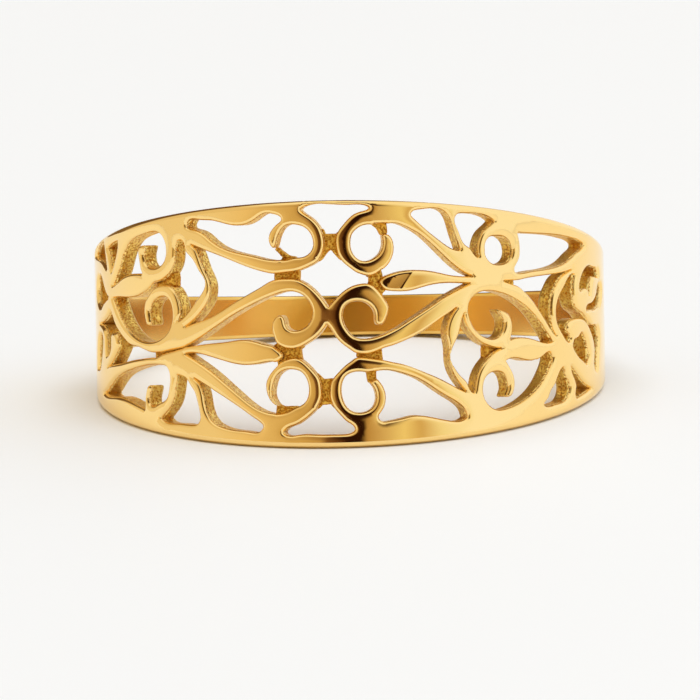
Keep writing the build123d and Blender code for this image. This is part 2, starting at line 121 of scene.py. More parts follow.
class RingColours(bpy.types.PropertyGroup):
    """Colours of the metal and of the studio"""
    gold: bpy.props.FloatVectorProperty(
        name="Polished gold", description="Colour of the polished metal",
        default=(1.0, 0.70, 0.27), size=3, min=0, max=1, subtype="COLOR")
    cast_gold: bpy.props.FloatVectorProperty(
        name="Cast gold", description="Colour of the sandy metal in the openings",
        default=(1.0, 0.67, 0.15), size=3, min=0, max=1, subtype="COLOR")
    bar_gold: bpy.props.FloatVectorProperty(
        name="Tie bar gold", description="Colour of the cast metal of the tie bars",
        default=(1.0, 0.64, 0.11), size=3, min=0, max=1, subtype="COLOR")
    bore_gold: bpy.props.FloatVectorProperty(
        name="Bore gold", description="Colour of the satin metal on the finger's side",
        default=(0.98, 0.66, 0.20), size=3, min=0, max=1, subtype="COLOR")
    floor: bpy.props.FloatVectorProperty(
        name="Floor", description="Colour of the floor",
        default=(0.87, 0.895, 0.93), size=3, min=0, max=1, subtype="COLOR")


# The ring's own frame

class RingFrame:
    """The ring in its own frame, in millimetres: finger's axis upright, front towards -Y"""

    def __init__(self, sizes):
        self.bore = sizes.bore_radius / MM
        self.outer = self.bore + sizes.wall / MM
        self.side = sizes.side_width / MM
        self.taper = (sizes.front_width - sizes.side_width) / 2 / MM
        shank_back = sizes.shank_back_width / MM
        self.back_radius = self.bore + sizes.shank_back_wall / MM
        tilt = math.atan2(self.taper, self.outer)
        reach_front = self.outer * math.cos(tilt) + (self.side / 2 + self.taper) * math.sin(tilt)
        reach_back = self.back_radius * math.cos(tilt) + shank_back / 2 * math.sin(tilt)
        place = Vector((0, (reach_front - reach_back) / 2, self.side / 2 * math.cos(tilt)))
        self.rest = Matrix.Translation(place * MM) @ Matrix.Rotation(-tilt, 4, "X")
        shoulder_y = -self.outer * math.cos(sizes.shoulder_angle)
        shank_y = -self.outer * math.cos(sizes.shank_angle)
        self.back_centre = (self.back_radius ** 2 - self.outer ** 2) / (2 * (self.back_radius - shank_y))
        self.back_round = self.back_radius - self.back_centre
        corners = [(-self.outer * 1.2, self.flat_edge(-self.outer * 1.2)),
                   (shoulder_y, self.flat_edge(shoulder_y)),
                   (shank_y, sizes.shank_width / 2 / MM), (self.back_radius + 1, shank_back / 2)]
        self.profile = rounded_line(corners, [sizes.shoulder_round / MM, sizes.shank_round / MM])

    def flat_edge(self, y):
        """Half the band's height where its two edges are flat"""
        return self.side / 2 - self.taper * y / self.outer

    def half_height(self, y):
        """Half the band's height, seen from the side"""
        return np.interp(y, self.profile[:, 0], self.profile[:, 1])

    def face_radius(self, angle):
        """Distance of the face from the finger's axis, and whether the thicker back is the face there"""
        along = -np.cos(angle) * self.back_centre
        back = along + np.sqrt(along ** 2 - self.back_centre ** 2 + self.back_round ** 2)
        return np.maximum(back, self.outer), back > self.outer

    def to_world(self, points):
        """Points of the ring's frame, in metres where the ring rests"""
        rest = np.array(self.rest)
        return points * MM @ rest[:3, :3].T + rest[:3, 3]

    def from_world(self, points):
        """Points of the resting ring, in millimetres in its own frame"""
        rest = np.array(self.rest)
        return (points - rest[:3, 3]) @ rest[:3, :3] / MM


def rounded_line(corners, radii, steps=13):
    """Points along a line of straight runs whose inner corners are rounded"""
    points = [np.array(corners[0])]
    for before, corner, after, radius in zip(corners, corners[1:], corners[2:], radii):
        before, corner, after = np.array(before), np.array(corner), np.array(after)
        way_in = (corner - before) / np.linalg.norm(corner - before)
        way_out = (after - corner) / np.linalg.norm(after - corner)
        turn = math.acos(np.clip(way_in @ way_out, -1, 1))
        reach = radius * math.tan(turn / 2)
        inward = (way_out - way_in) / np.linalg.norm(way_out - way_in)
        centre = corner + inward * radius / math.cos(turn / 2)
        start, stop = corner - way_in * reach, corner + way_out * reach
        for share in np.linspace(0, 1, steps):
            spot = start * (1 - share) + stop * share - centre
            points.append(centre + spot / np.linalg.norm(spot) * radius)
    points.append(np.array(corners[-1]))
    return np.array(points)


def unit(vectors):
    """The same vectors with a length of 1"""
    return vectors / np.maximum(np.linalg.norm(vectors, axis=1), 1e-12)[:, None]


# Outlines. All lengths are in millimetres

LEAST_STEP = 0.012                  # no two points of an outline are closer
DENSE_STEP = 0.01                   # step of the dense outlines that distances are measured to
SMOOTH_PASSES = 8                   # how often a dense outline is smoothed
CORNER = math.radians(28)           # an outline has a corner where it turns by more
SLIGHT_CORNER = math.radians(65)    # a corner that turns by less is eased
EASE_REACH = 0.3                    # how far from a slight corner the easing reaches
EASE_PASSES = 320
SAME_SPOT = 0.006                   # run along a dense outline that still counts as beside its point


def merged_mesh(mesh):
    """Points of a mesh without doubles, and its triangles"""
    points = np.empty(len(mesh.vertices) * 3)
    mesh.vertices.foreach_get("co", points)
    points = points.reshape(-1, 3)
    mesh.calc_loop_triangles()
    triangles = np.empty(len(mesh.loop_triangles) * 3, int)
    mesh.loop_triangles.foreach_get("vertices", triangles)
    single, same = np.unique(np.round(points / MM, 4), axis=0, return_inverse=True)
    return single * MM, same.ravel()[triangles.reshape(-1, 3)]


def border_edges(triangles):
    """Edges that only one triangle has, in the direction in which it has them"""
    edges = set()
    for a, b, c in triangles.tolist():
        edges.update(((a, b), (b, c), (c, a)))
    return sorted(edge for edge in edges if edge[::-1] not in edges)


def boundary_loops(triangles):
    """Closed loops of points round a patch of triangles, with the patch on their left"""
    following = {}
    for a, b in border_edges(triangles):
        following.setdefault(a, []).append(b)
    loops = []
    while following:
        start = min(following)
        loop, here = [], start
        while here in following:
            loop.append(here)
            onward = following[here].pop()
            if not following[here]:
                del following[here]
            here = onward
        loops.append(loop)
    return loops


def unrolled(points, radius):
    """Points on the band laid flat: distance round it from the front, and height"""
    angle = np.arctan2(points[:, 0], -points[:, 1])
    return np.stack([angle * radius, points[:, 2]], 1)


def spread_out(points):
    """The points of a closed outline without those that all but repeat the one before"""
    kept = [points[0]]
    for point in points[1:]:
        if np.linalg.norm(point - kept[-1]) > LEAST_STEP:
            kept.append(point)
    if np.linalg.norm(kept[-1] - kept[0]) < LEAST_STEP:
        kept.pop()
    return np.array(kept)


def beside(line):
    """Middle between the two neighbours of each point of a closed line"""
    return (np.roll(line, 1, 0) + np.roll(line, -1, 0)) / 2


def smooth_outline(points, slight=SLIGHT_CORNER):
    """Closed outline through the given points, smooth between its corners and eased at the slight ones"""
    points = spread_out(points)
    chord = np.roll(points, -1, 0) - points
    length = np.linalg.norm(chord, axis=1)
    way = chord / length[:, None]
    way_in, length_in = np.roll(way, 1, 0), np.roll(length, 1)
    straight = np.einsum("ij,ij->i", way_in, way)
    sharp = straight < math.cos(CORNER)
    tangent = unit(way_in * length[:, None] + way * length_in[:, None])
    dense = []
    for i in range(len(points)):
        j = (i + 1) % len(points)
        start = tangent[i] if not sharp[i] else None
        stop = tangent[j] if not sharp[j] else None
        if start is None:
            start = way[i] if stop is None else 2 * (way[i] @ stop) * way[i] - stop
        if stop is None:
            stop = 2 * (way[i] @ start) * way[i] - start
        count = max(1, int(math.ceil(length[i] / DENSE_STEP)))
        t = (np.arange(count) / count)[:, None]
        dense.append((2 * t ** 3 - 3 * t ** 2 + 1) * points[i]
                     + (t ** 3 - 2 * t ** 2 + t) * length[i] * start
                     + (3 * t ** 2 - 2 * t ** 3) * points[j]
                     + (t ** 3 - t ** 2) * length[i] * stop)
    dense = np.concatenate(dense)
    for _ in range(SMOOTH_PASSES):
        dense = dense / 2 + beside(dense) / 2
    bends = points[sharp & (straight > math.cos(slight))]
    if len(bends):
        apart = np.linalg.norm(dense[:, None] - bends[None], axis=2).min(1)
        eased = np.clip(1 - apart / EASE_REACH, 0, 1)[:, None] / 2
        for _ in range(EASE_PASSES):
            dense = dense * (1 - eased) + beside(dense) * eased
    return dense


def tangents(points, closed):
    """Unit direction of a line at each of its points"""
    if closed:
        return unit(np.roll(points, -1, 0) - np.roll(points, 1, 0))
    return unit(np.gradient(points, axis=0))


def picked(points, closed, step, turn=math.radians(14)):
    """Places along a dense line for a step that is short where the line turns"""
    way = tangents(points, closed)
    heading = np.unwrap(np.arctan2(way[:, 1], way[:, 0]))
    length = np.concatenate([[0], np.cumsum(np.linalg.norm(np.diff(points, axis=0), axis=1))])
    places, last = [0], 0
    for i in range(1, len(points)):
        run = length[i] - length[last]
        if run >= step or (run >= LEAST_STEP and abs(heading[i] - heading[last]) >= turn):
            places.append(i)
            last = i
    if not closed and places[-1] != len(points) - 1:
        places[-1] = len(points) - 1
    return places


class Outlines:
    """Dense outlines that tell how far a point is from the nearest edge"""

    def __init__(self, lines, closed):
        self.points = np.concatenate(lines)
        self.ways = np.concatenate([tangents(line, closed) for line in lines])
        self.tree = kdtree.KDTree(len(self.points))
        for i, (x, y) in enumerate(self.points):
            self.tree.insert((x, y, 0), i)
        self.tree.balance()

    def nearest(self, points):
        """Index of the nearest outline point, its distance, and on which side of it a point lies"""
        found = np.array([self.tree.find((x, y, 0))[1] for x, y in points])
        apart = points - self.points[found]
        way = self.ways[found]
        run = np.einsum("ij,ij->i", apart, way)
        across = way[:, 0] * apart[:, 1] - way[:, 1] * apart[:, 0]
        straight = np.hypot(across, np.maximum(np.abs(run) - SAME_SPOT, 0))
        return found, straight, across


def inside(points, polygon):
    """Which points lie inside a closed polygon"""
    result = np.zeros(len(points), bool)
    low, high = polygon.min(0), polygon.max(0)
    near = np.nonzero(((points >= low) & (points <= high)).all(1))[0]
    x, y = points[near, 0], points[near, 1]
    odd = np.zeros(len(near), bool)
    for (ax, ay), (bx, by) in zip(polygon, np.roll(polygon, -1, 0)):
        if ay != by:
            crosses = (ay > y) != (by > y)
            odd ^= crosses & (x < (bx - ax) * (y - ay) / (by - ay) + ax)
    result[near] = odd
    return result


# The tip of the leaf to the right of the front is filed off flat, and the facet leans left

# Both ends of the crease: angle round from the front in degrees, share of the band's half height
TIP_CREASE = ((18.1, 0.394), (16.1, 0.283))
# Distance past the crease in millimetres, lean of the face there in degrees
TIP_LEANS = ((0.0, 1.5), (0.02, 12.8), (0.06, 12.6), (0.085, 9.2), (0.48, 5.6), (0.51, 8.8), (1.10, 8.6))
TIP_RISE = 0.3        # share of the lean's upward part that is kept
TIP_START = 0.15      # points past the crease and this near to its middle are on the tip


def tip_crease(ring):
    """Both ends of the crease on the band laid flat"""
    angle, share = np.radians([end[0] for end in TIP_CREASE]), np.array([end[1] for end in TIP_CREASE])
    return np.stack([angle * ring.outer, share * (ring.side / 2 + ring.taper * np.cos(angle))], 1)


def crease_way(crease):
    """Unit direction of the crease"""
    return unit(crease[1:] - crease[:1])[0]


def crease_rows(crease, before=-0.02, count=18):
    """Points along the crease, a little before it, and past it where the lean changes"""
    way = crease_way(crease)
    along = np.linspace(-0.15, 1.15, count)[:, None] * (crease[1] - crease[0])
    return np.concatenate([crease[0] + along + (way[1] * past, -way[0] * past)
                           for past in [before] + [place for place, _ in TIP_LEANS[:-1]]])


def past_crease(flat, faces, crease):
    """How far each point of the tip lies past its crease, and none for all other points"""
    way = crease_way(crease)
    apart = flat - crease[0]
    across = way[1] * apart[:, 0] - way[0] * apart[:, 1]
    reached = (across > 0) & (np.linalg.norm(flat - crease.mean(0), axis=1) < TIP_START)
    while True:
        spread = reached.copy()
        spread[faces[reached[faces].any(1)].ravel()] = True
        spread &= across > 0
        if (spread == reached).all():
            return np.where(reached, across, 0)
        reached = spread


def filed_tip(flat, faces, crease, count=200):
    """Which points are on the filed tip, how far they lie below the face, and how far they lean"""
    past = past_crease(flat, faces, crease)
    places = np.linspace(0, TIP_LEANS[-1][0], count)
    leans = np.radians(np.interp(places, *zip(*TIP_LEANS)))
    dips = np.cumsum(np.tan(leans)) * places[1]
    tip = past > 0
    dip, lean = (np.where(tip, np.interp(past, places, values), 0) for values in (dips, leans))
    return tip, dip, lean


# The skin of the band, laid flat. All lengths are in millimetres

# Rows of points beside each edge: distance as a share of the rounding's radius, least gap between points, and
# how much of that distance has to be left where two edges come near each other
ROWS = (
    (0.134, 0.010, 0.90),
    (0.5, 0.026, 0.96),
    (1.0, 0.040, 0.98),
    (1.6, 0.060, 0.98),
    (2.3, 0.080, 0.98))
LAST_ROW = ROWS[-1][0]
EDGE_GAP = 0.02             # an edge's rows keep this far from the edges of the other kind
CREASE_GAP = 0.010          # least gap between the points of the crease
GRID_GAP = 0.05             # the even grid keeps this far from the last rows
GRID_SHARE = 0.35           # least gap between points of the grid, as a share of its step
TRIANGLE_HEIGHT = 0.866     # height of an even triangle with sides of 1
SEAM_GAP = 0.1              # what isn't on the seam at the back keeps this far from it


class Spacing:
    """Points that are only taken in where none is too near, sorted in cells wider than any gap"""

    def __init__(self, cell=0.13):
        self.cell, self.cells, self.points = cell, {}, []

    def add(self, points, gap):
        """Takes in those points that have no other within the gap"""
        for x, y in points:
            column, row = int(x // self.cell), int(y // self.cell)
            if gap and any((u - x) ** 2 + (v - y) ** 2 < gap * gap
                           for i in (column - 1, column, column + 1) for j in (row - 1, row, row + 1)
                           for u, v in self.cells.get((i, j), ())):
                continue
            self.cells.setdefault((column, row), []).append((x, y))
            self.points.append((x, y))


class Skin:
    """A sheet with holes, laid flat: triangles between its outlines, closer set where the edges round over"""

    def __init__(self, holes, rims, rounds, step, face_step, reach=None, extra=None):
        kinds = ((holes, True), (rims, False))
        self.rounds, self.reach = rounds, reach
        self.kinds = [Outlines(lines, closed) if lines else None for lines, closed in kinds]
        spacing, edges, rows, polygons = Spacing(), [], [], []
        for kind, (lines, closed) in enumerate(kinds):
            for line in lines:
                places = picked(line, closed, step)
                spots, way = line[places], tangents(line, closed)[places]
                first, count = len(spacing.points), len(places)
                spacing.add(spots, 0)
                edges += [(first + i, first + (i + 1) % count) for i in range(count if closed else count - 1)]
                rows.append((kind, spots, np.stack([-way[:, 1], way[:, 0]], 1)))
                if closed:
                    polygons.append(spots)
        border = np.concatenate([spots for kind, spots, _ in rows if kind == 1]) if rims else None
        if reach:
            self.add_seam(spacing, abs(rims[0][0][1]))
        if extra is not None:
            spacing.add(self.clear(extra, (EDGE_GAP, EDGE_GAP)), CREASE_GAP)
        for share, gap, slack in ROWS:
            for kind, spots, inward in rows:
                deep = rounds[kind] * share
                room = [deep * slack if kind == other else EDGE_GAP for other in (0, 1)]
                spacing.add(self.clear(spots + inward * deep, room), gap)
        self.add_grid(spacing, border if rims else self.kinds[0].points, face_step)
        corners = [Vector(point) for point in spacing.points]
        flat, _, faces, *_ = geometry.delaunay_2d_cdt(corners, edges, [], 0, 1e-7)
        self.flat = np.array([tuple(point) for point in flat])
        faces = np.array([face for face in faces if len(face) == 3])
        middle = self.flat[faces].mean(1)
        solid = inside(middle, border) if rims else np.zeros(len(faces), bool)
        for polygon in polygons:
            solid ^= inside(middle, polygon)
        self.faces = faces[solid]
        if reach:
            self.join_ends()

    def add_seam(self, spacing, edge):
        """The same column of points at both ends of the sheet, where the band closes"""
        column = [0.0, edge * 0.3, edge * 0.6] + [edge - self.rounds[1] * share for share, *_ in ROWS[:3]]
        for side in (-self.reach, self.reach):
            spacing.add([(side, z) for z in column] + [(side, -z) for z in column[1:]], 0.001)

    def add_grid(self, spacing, around, step):
        """An even grid of points wherever the sheet is wide"""
        low, high = around.min(0), around.max(0)
        grid = [(low[0] + step * (i + (j % 2) / 2), low[1] + step * TRIANGLE_HEIGHT * j)
                for i in range(int((high[0] - low[0]) / step) + 1)
                for j in range(int((high[1] - low[1]) / step / TRIANGLE_HEIGHT) + 2)]
        room = [radius * LAST_ROW + GRID_GAP for radius in self.rounds]
        spacing.add(self.clear(np.array(grid), room), step * GRID_SHARE)

    def clear(self, points, distances):
        """Those points that lie on the sheet and far enough from its edges"""
        if self.reach:
            points = points[np.abs(points[:, 0]) < self.reach - SEAM_GAP]
        fine = np.ones(len(points), bool)
        for kind, distance in zip(self.kinds, distances):
            if kind is not None:
                _, apart, across = kind.nearest(points)
                fine &= (across > 0) & (apart > distance)
        return points[fine]

    def join_ends(self):
        """The points at the far end become those at the near end, where the band closes"""
        near = {round(z, 6): i for i, (x, z) in enumerate(self.flat) if x < -self.reach + 1e-6}
        same = np.arange(len(self.flat))
        for i, (x, z) in enumerate(self.flat):
            if x > self.reach - 1e-6:
                same[i] = near[round(z, 6)]
        self.faces = same[self.faces]


# The band and its bars, bent round the finger. All lengths are in millimetres

NO_DOME = (0.0, 1.0)
ON_EDGE = 0.002             # points this near to an edge are on it
UPPER_ROW = 0.08            # depth of a row of points on the wall below the face
LOWER_ROW = 0.05            # height of another above the finger's side
CAST_ON_FACE = 0.15         # share of the cast finish on the points of an opening's outer edge
CAST_ON_BORE = 0.7          # and on those of its inner edge
UNEVEN_SCALE = 6.0          # bumps of an uneven piece, per millimetre


def rounding(distance, radius, dome=NO_DOME):
    """How far the face falls at a distance from a rounded edge, and the sine of its lean there"""
    drop, spread = dome
    reach = np.clip(radius - distance, 0, radius)
    rest = np.sqrt(np.maximum(radius ** 2 - reach ** 2, 0))
    swell = np.clip(1 - distance / spread, 0, 1)
    slope = reach / np.maximum(rest, 1e-9) + 2 * drop / spread * swell
    return radius - rest + drop * swell ** 2, slope / np.sqrt(1 + slope ** 2)


def nearest_edges(skin, flat, dome):
    """The edge that counts at each point of the sheet: its distance and direction, whether it is
    an opening's, and how far the face drops and leans there"""
    distance = np.full(len(flat), np.inf)
    way, hole = np.zeros((len(flat), 2)), np.ones(len(flat), bool)
    drop, lean = np.full(len(flat), -1.0), np.zeros(len(flat))
    for kind, outlines in enumerate(skin.kinds):
        if outlines is not None:
            found, apart, _ = outlines.nearest(flat)
            apart = np.where(apart < ON_EDGE, 0, apart)
            fall, turn = rounding(apart, skin.rounds[kind], dome)
            nearer = (fall > drop) | ((fall == drop) & (apart < distance))
            distance = np.where(nearer, apart, distance)
            drop, lean = np.where(nearer, fall, drop), np.where(nearer, turn, lean)
            hole = np.where(nearer, kind == 0, hole)
            way = np.where(nearer[:, None], outlines.ways[found], way)
    return distance, way, hole, drop, lean


def wrapped(name, skin, ring, recess=0.0, lift=0.0, inner_round=0.06, dome=NO_DOME, uneven=0.0, crease=None):
    """The flat sheet bent round the finger and given its thickness, as one closed mesh"""
    used = np.unique(skin.faces)
    flat = skin.flat[used]
    faces = np.searchsorted(used, skin.faces)
    angle = flat[:, 0] / ring.outer
    sideways = np.stack([np.cos(angle), np.sin(angle), 0 * angle], 1)
    outwards = np.stack([np.sin(angle), -np.cos(angle), 0 * angle], 1)
    upright = np.array([0.0, 0.0, 1.0])
    face, thick = ring.face_radius(angle)
    face = face - recess
    bore = ring.bore + lift
    face_normal = unit(outwards - np.where(thick, ring.back_centre / face, 0)[:, None] * np.array([0, 1, 0]))

    # The two rims taper in towards the finger, and the holes go straight through
    height = ring.half_height(-face * np.cos(angle))
    taper = np.zeros(len(flat))
    if skin.kinds[1] is not None:
        to_hole, to_rim = (outlines.nearest(flat)[1] for outlines in skin.kinds)
        taper = np.clip(np.abs(flat[:, 1]) / height, 0, 1) ** 4 * to_hole / np.maximum(to_hole + to_rim, 1e-9)

    def level(distance):
        """Height of each point of the sheet at that distance from the finger's axis"""
        fallen = height - ring.half_height(-distance * np.cos(angle))
        return flat[:, 1] - np.sign(flat[:, 1]) * taper * fallen

    if crease is not None:
        tip, dip, tip_lean = filed_tip(flat, faces, crease)
        face = face - dip
        dome = (np.where(tip, 0, dome[0]), dome[1])
        way, tip_lean = crease_way(crease), tip_lean[:, None]
        face_normal = unit(np.cos(tip_lean) * face_normal
                           + np.sin(tip_lean) * (way[1] * sideways - TIP_RISE * way[0] * upright))

    # Both sides of the sheet, and the wall between them at the nearest edge
    distance, way, hole, drop, lean = nearest_edges(skin, flat, dome)
    drop_in, lean_in = rounding(distance, inner_round)
    top, bottom = (far[:, None] * outwards + level(far)[:, None] * upright
                   for far in (face - drop, bore + drop_in))
    rail = (face - bore)[:, None] * outwards + (level(face) - level(bore))[:, None] * upright
    along = way[:, :1] * sideways + way[:, 1:] * upright
    void = way[:, 1:] * sideways - way[:, :1] * upright
    wall = np.cross(along, rail)
    wall = unit(wall * np.sign(np.einsum("ij,ij->i", wall, void))[:, None])
    lean, lean_in = lean[:, None], lean_in[:, None]
    top_normal = lean * wall + np.sqrt(1 - lean ** 2) * face_normal
    bottom_normal = lean_in * wall - np.sqrt(1 - lean_in ** 2) * outwards

    # Two rows of points down the wall, below the edges of the sheet
    border = np.array(border_edges(faces))
    rim = np.unique(border)
    depth = np.linalg.norm(top[rim] - bottom[rim], axis=1)[:, None]
    upper = top[rim] + (bottom[rim] - top[rim]) * UPPER_ROW / depth
    lower = bottom[rim] + (top[rim] - bottom[rim]) * LOWER_ROW / depth
    points = np.concatenate([top, bottom, upper, lower])
    normals = np.concatenate([top_normal, bottom_normal, wall[rim], wall[rim]])
    count, rims = len(flat), len(rim)
    a, b = border.T
    ra, rb = 2 * count + np.searchsorted(rim, a), 2 * count + np.searchsorted(rim, b)
    quads = np.concatenate([np.stack(corners, 1) for corners in (
        (b, a, ra, rb), (rb, ra, ra + rims, rb + rims), (rb + rims, ra + rims, a + count, b + count))])
    faces = faces.tolist() + (faces[:, ::-1] + count).tolist() + quads.tolist()

    edge = (distance < ON_EDGE / 2) & hole
    finger_side = np.zeros(len(points))
    finger_side[count:2 * count] = 1
    if uneven:
        shift = [noise.noise(Vector(point) * UNEVEN_SCALE) for point in points]
        points = points + np.array(shift)[:, None] * uneven * normals
        marks = {"as_cast": np.ones(len(points)), "finger_side": finger_side}
        return new_piece(name, ring, points, faces, marks)
    as_cast = np.concatenate([edge * CAST_ON_FACE, edge * CAST_ON_BORE, hole[rim], hole[rim]])
    return new_piece(name, ring, points, faces, {"as_cast": as_cast, "finger_side": finger_side}, normals)


def new_piece(name, ring, points, faces, marks, normals=None):
    """A smooth object from points of the ring's frame, with its marks and, where given, its own normals"""
    mesh = bpy.data.meshes.new(name)
    mesh.from_pydata(ring.to_world(points).tolist(), [], faces)
    mesh.polygons.foreach_set("use_smooth", [True] * len(mesh.polygons))
    for mark, values in marks.items():
        mesh.attributes.new(mark, "FLOAT", "POINT").data.foreach_set("value", values.astype(np.float32))
    if normals is not None:
        mesh.normals_split_custom_set_from_vertices((normals @ np.array(ring.rest)[:3, :3].T).tolist())
    mesh.validate()
    piece = bpy.data.objects.new(name, mesh)
    bpy.context.scene.collection.objects.link(piece)
    return piece


# Materials

class Wire:
    """A node's output that can be used in sums"""

    def __init__(self, tree, socket):
        self.tree, self.socket = tree, socket

    def maths(self, operation, other, swapped=False):
        values = (other, self) if swapped else (self, other)
        return self.tree.node("ShaderNodeMath", {"operation": operation}, dict(enumerate(values)))

    def __add__(self, other): return self.maths("ADD", other)
    def __radd__(self, other): return self.maths("ADD", other, True)
    def __sub__(self, other): return self.maths("SUBTRACT", other)
    def __rsub__(self, other): return self.maths("SUBTRACT", other, True)
    def __mul__(self, other): return self.maths("MULTIPLY", other)
    def __rmul__(self, other): return self.maths("MULTIPLY", other, True)
    def __truediv__(self, other): return self.maths("DIVIDE", other)
    def __rtruediv__(self, other): return self.maths("DIVIDE", other, True)


class Tree:
    """A node tree that nodes are added to in one way"""

    def __init__(self, tree):
        self.nodes, self.links = tree.nodes, tree.links
        self.nodes.clear()

    def node(self, kind, settings=None, values=None, output=0):
        """A new node of that kind, with its settings, a ramp's stops among them, and its sockets' values"""
        made = self.nodes.new(kind)
        for name, value in (settings or {}).items():
            if name == "stops":
                self.set_stops(made.color_ramp.elements, value)
            else:
                setattr(made, name, value)
        for name, value in (values or {}).items():
            if isinstance(value, Wire):
                self.links.new(value.socket, made.inputs[name])
            else:
                made.inputs[name].default_value = value
        return Wire(self, made.outputs[output]) if made.outputs else made

    def set_stops(self, elements, stops):
        """Places and colours of a colour ramp"""
        while len(elements) < len(stops):
            elements.new(1)
        for element, (place, colour) in zip(elements, stops):
            element.position = place
            element.color = (*colour, 1)

    def mixed(self, factor, one, other, blend="MIX"):
        """Colour between two others"""
        settings = {"data_type": "RGBA", "blend_type": blend}
        return self.node("ShaderNodeMix", settings, {0: factor, 6: one, 7: other}, 2)

    def ramp(self, factor, stops):
        """Colour ramp with the given places and colours"""
        return self.node("ShaderNodeValToRGB", {"stops": stops}, {0: factor})

    def rise(self, value, low, high):
        """Mask that is 0 up to one value, 1 from another on, and even between them"""
        return self.node("ShaderNodeMapRange", {}, {"Value": value, "From Min": low, "From Max": high})


POLISHED, SATIN, CAST, CAST_BAR = 0.06, 0.22, 0.32, 0.6     # roughness of each finish
PAINTED_PIT_SHADE = (0.76, 0.45, 0.12)                              # painted shade: share of the cast colour left in the pits
PIT_RISE = (0.36, 0.52)                                     # noise from the bottom of a pit up to its edge
PIT_DEPTH = 0.00012                                         # in metres
RIPPLE = 0.02                                               # height of the slow ripple beside the pits'
# Noise scales, per metre: the sandy grain, the polished face's slow ripple, and the random darker patches on
# the finger's side
GRAIN_SCALE, RIPPLE_SCALE, MOTTLE_SCALE = 13000, 600, 260
BORE_MOTTLE = ((0.38, (0.78, 0.66, 0.45)), (0.56, (1, 1, 1)))      # noise, share of the satin colour that is left


def gold_material(name, colours, cast_gold, cast_rough):
    """Gold that is polished, sandy where the piece's as_cast mark is 1, and satin where finger_side is 1;
    shade is painted into the pits of the sandy grain
    """
    material = bpy.data.materials.new(name)
    material.use_nodes = True
    tree = Tree(material.node_tree)
    place = tree.node("ShaderNodeTexCoord", output=3)
    sandy = tree.node("ShaderNodeAttribute", {"attribute_name": "as_cast"}, output=2)
    satin = tree.node("ShaderNodeAttribute", {"attribute_name": "finger_side"}, output=2)
    grain = tree.node("ShaderNodeTexNoise", {}, {"Vector": place, "Scale": GRAIN_SCALE, "Detail": 1.5,
                                                 "Roughness": 0.6})
    ripple = tree.node("ShaderNodeTexNoise", {}, {"Vector": place, "Scale": RIPPLE_SCALE, "Detail": 2})
    mottle = tree.node("ShaderNodeTexNoise", {}, {"Vector": place, "Scale": MOTTLE_SCALE, "Detail": 1})
    pits = tree.rise(grain, *PIT_RISE)
    # Painted shade: the cast colour is darkened in the pits, where the grain lies low
    dark = [share * value for share, value in zip(PAINTED_PIT_SHADE, cast_gold)]
    cast = tree.mixed(pits, (*dark, 1), (*cast_gold, 1))
    bore = tree.mixed(1.0, (*colours.bore_gold, 1), tree.ramp(mottle, BORE_MOTTLE), "MULTIPLY")
    smooth = tree.mixed(satin, (*colours.gold, 1), bore)
    colour = tree.mixed(sandy, smooth, cast)
    rough = POLISHED + sandy * (cast_rough - POLISHED) + satin * (SATIN - POLISHED)
    bump = tree.node("ShaderNodeBump", {}, {"Strength": 1.0, "Distance": PIT_DEPTH,
                                            "Height": pits * sandy + ripple * RIPPLE})
    shader = tree.node("ShaderNodeBsdfPrincipled", {}, {"Base Color": colour, "Metallic": 1.0,
                                                        "Roughness": rough, "Normal": bump})
    tree.node("ShaderNodeOutputMaterial", {}, {"Surface": shader})
    return material


def plain_material(name, colour, roughness):
    """Material of one colour"""
    material = bpy.data.materials.new(name)
    material.use_nodes = True
    tree = Tree(material.node_tree)
    shader = tree.node("ShaderNodeBsdfPrincipled", {}, {"Base Color": (*colour, 1), "Roughness": roughness})
    tree.node("ShaderNodeOutputMaterial", {}, {"Surface": shader})
    return material


# Pieces of the ring

RIM_POINTS = 6001           # points along each rim
POCKET_SLACK = 0.003        # how far from a tie bar's own level its floor may lie
BAR_GROWTH = 0.03           # how far a tie bar runs into the walls round it
BAR_ROUND = 0.08            # rounding of its edges
BAR_STEP = 0.08             # longest step along its edge
BAR_FACE_STEP = 0.12
BAR_LIFT = 0.02             # height of its underside above the bore
BAR_UNEVEN = 0.015          # height of the bumps on it


def ring_edges(ring, sizes):
    """Outlines of the openings as they are on the face, of the tie bars, and of the two rims, laid flat"""
    points, triangles = merged_mesh(frame["nodes"]["ring"].data)
    points = ring.from_world(points)
    radius = np.hypot(points[:, 0], points[:, 1])
    flat = unrolled(points, ring.outer)
    floor = ring.outer - sizes.bar_recess / MM
    face = triangles[(radius[triangles] > (floor + ring.outer) / 2).all(1)]
    openings = [flat[loop] for loop in boundary_loops(face)]
    openings = [smooth_outline(loop) for loop in openings if np.ptp(loop[:, 0]) < 4 * ring.outer]
    pockets = triangles[(np.abs(radius[triangles] - floor) < POCKET_SLACK).all(1)]
    bars = [flat[loop] for loop in boundary_loops(pockets) if len(loop) > 3]
    bars = [smooth_outline(loop, slight=0) for loop in bars if np.ptp(loop[:, 0]) < ring.outer]
    angle = np.linspace(-math.pi, math.pi, RIM_POINTS)
    face_radius, _ = ring.face_radius(angle)
    edge = np.stack([angle * ring.outer, ring.half_height(-face_radius * np.cos(angle))], 1)
    rims = [edge * (1, -1), edge[::-1]]
    return openings, bars, rims


def finished(piece, material):
    """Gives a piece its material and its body"""
    piece.data.materials.append(material)
    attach(piece, "root")


